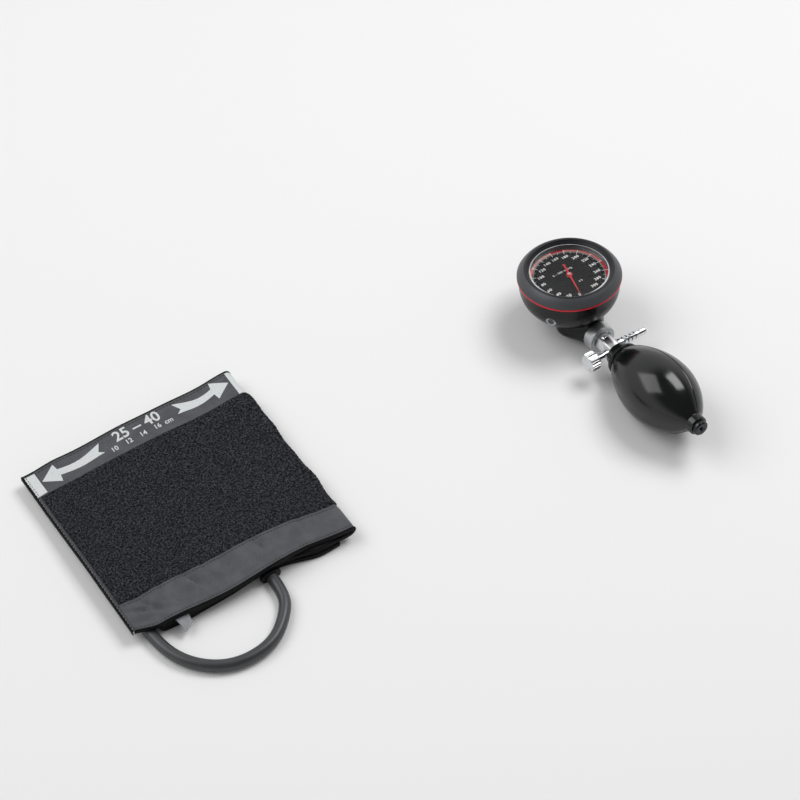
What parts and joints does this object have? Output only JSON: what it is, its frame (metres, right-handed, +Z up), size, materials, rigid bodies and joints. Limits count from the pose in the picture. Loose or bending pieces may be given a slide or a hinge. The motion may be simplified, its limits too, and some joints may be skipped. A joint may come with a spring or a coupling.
{
  "type": "palm aneroid sphygmomanometer",
  "caption": "Hand-held aneroid blood pressure gauge with dial, release valve and rubber bulb, beside its folded arm cuff with a looped hose.",
  "frame": {"origin": "centre of the footprint on the table, under the handpiece and the folded cuff", "axes": "+Z up from the table, +X from the cuff to the handpiece, +Y from the bulb towards the dial"},
  "size_m": [0.4191, 0.2229, 0.0546],
  "materials": {
    "black_enamel": "satin",
    "graphite_enamel": "satin",
    "red_silicone": "matt",
    "clear_glass": "polished",
    "black_rubber": "satin",
    "light_plastic": "satin",
    "dial_print": "matt",
    "pointer_red": "satin",
    "brass": "brushed",
    "spring_steel": "polished",
    "screw_steel": "satin",
    "bronze_sheet": "satin",
    "brushed_nickel": "brushed",
    "chrome": "mirror",
    "clear_rubber": "matt",
    "stainless_steel": "polished",
    "grey_nylon": "weave",
    "black_nylon": "weave",
    "loop_pile": "pile",
    "hook_tape": "hook",
    "woven_label": "weave",
    "latex_free_rubber": "matt",
    "hose_rubber": "matt",
    "moulded_plastic": "satin"
  },
  "bodies": {
    "handpiece": {"gauge_housing": "black_enamel", "housing_screws": "screw_steel", "accent_ring": "red_silicone", "bezel": "graphite_enamel", "lens": "clear_glass", "lens_gasket": "clear_rubber", "dial_ring": "light_plastic", "dial_plate": "dial_print", "movement_base_plate": "brass", "movement_base_screws": "screw_steel", "movement_top_plate": "brass", "movement_pillars": "brass", "movement_top_screws": "screw_steel", "shaft_hangers": "brass", "aneroid_capsule": "bronze_sheet", "hairspring": "bronze_sheet", "collar": "brushed_nickel", "neck_washer": "clear_rubber", "valve_body": "chrome", "port_plug": "chrome", "outlet_seat": "brass", "hose_barb": "chrome", "needle_gland": "chrome", "bulb": "black_rubber", "intake_fitting": "chrome", "ball_stop": "stainless_steel"},
    "pointer_shaft": {"pointer_arbor": "spring_steel", "pointer": "pointer_red"},
    "sector": {"sector_gear": "brass"},
    "rocker": {"rocking_shaft": "spring_steel"},
    "capsule_stud": {"capsule_post": "brass"},
    "needle": {"needle_stem": "chrome"},
    "knob": {"release_knob": "chrome"},
    "intake": {"intake_ball": "stainless_steel"},
    "outlet": {"outlet_disc": "clear_rubber"},
    "cuff": {"cuff_outer_cloth": "grey_nylon", "cuff_lining": "black_nylon", "bladder": "latex_free_rubber", "edge_binding": "black_nylon", "loop_panel": "loop_pile", "hook_panel": "hook_tape", "size_tab": "woven_label", "bladder_port": "moulded_plastic", "hose": "hose_rubber", "hose_connector": "moulded_plastic"}
  },
  "joints": [
    {"name": "pointer_spin", "type": "hinge", "parent": "handpiece", "child": "pointer_shaft", "pos_m": [0.1736, 0.03547, 0.03881], "axis": [0, -0.1366, -0.9906], "range_deg": [0, 320]},
    {"name": "sector_turn", "type": "hinge", "parent": "handpiece", "child": "sector", "pos_m": [0.15429, 0.02441, 0.03579], "axis": [0, 0.1366, 0.9906], "range_deg": [0, 32]},
    {"name": "rocker_rock", "type": "hinge", "parent": "handpiece", "child": "rocker", "pos_m": [0.1736, 0.02492, 0.02815], "axis": [1, 0, 0], "range_deg": [0, 9.59]},
    {"name": "capsule_rise", "type": "slide", "parent": "handpiece", "child": "capsule_stud", "axis": [0, 0.1366, 0.9906], "range_m": [0, 0.0015]},
    {"name": "needle_travel", "type": "slide", "parent": "handpiece", "child": "needle", "axis": [-1, 0, 0], "range_m": [0, 0.0014]},
    {"name": "knob_turn", "type": "hinge", "parent": "needle", "child": "knob", "pos_m": [0.1556, -0.01749, 0.01784], "axis": [-1, 0, 0], "range_deg": [0, 720]},
    {"name": "intake_lift", "type": "slide", "parent": "handpiece", "child": "intake", "axis": [0, 0.9906, -0.1366], "range_m": [0, 0.0008]},
    {"name": "outlet_lift", "type": "slide", "parent": "handpiece", "child": "outlet", "axis": [0, 0.9906, -0.1366], "range_m": [0, 0.0007]},
    {"name": "cuff_lift", "type": "slide", "parent": "handpiece", "child": "cuff", "axis": [0, 0, 1], "range_m": [0, 0.15]}
  ],
  "couplings": [
    {"joint": "pointer_spin", "follows": "sector_turn", "ratio": 10},
    {"joint": "rocker_rock", "follows": "sector_turn", "ratio": 0.29981},
    {"joint": "capsule_rise", "follows": "sector_turn", "m_per_rad": 0.0026857},
    {"joint": "needle_travel", "follows": "knob_turn", "m_per_rad": 0.00011141}
  ]
}
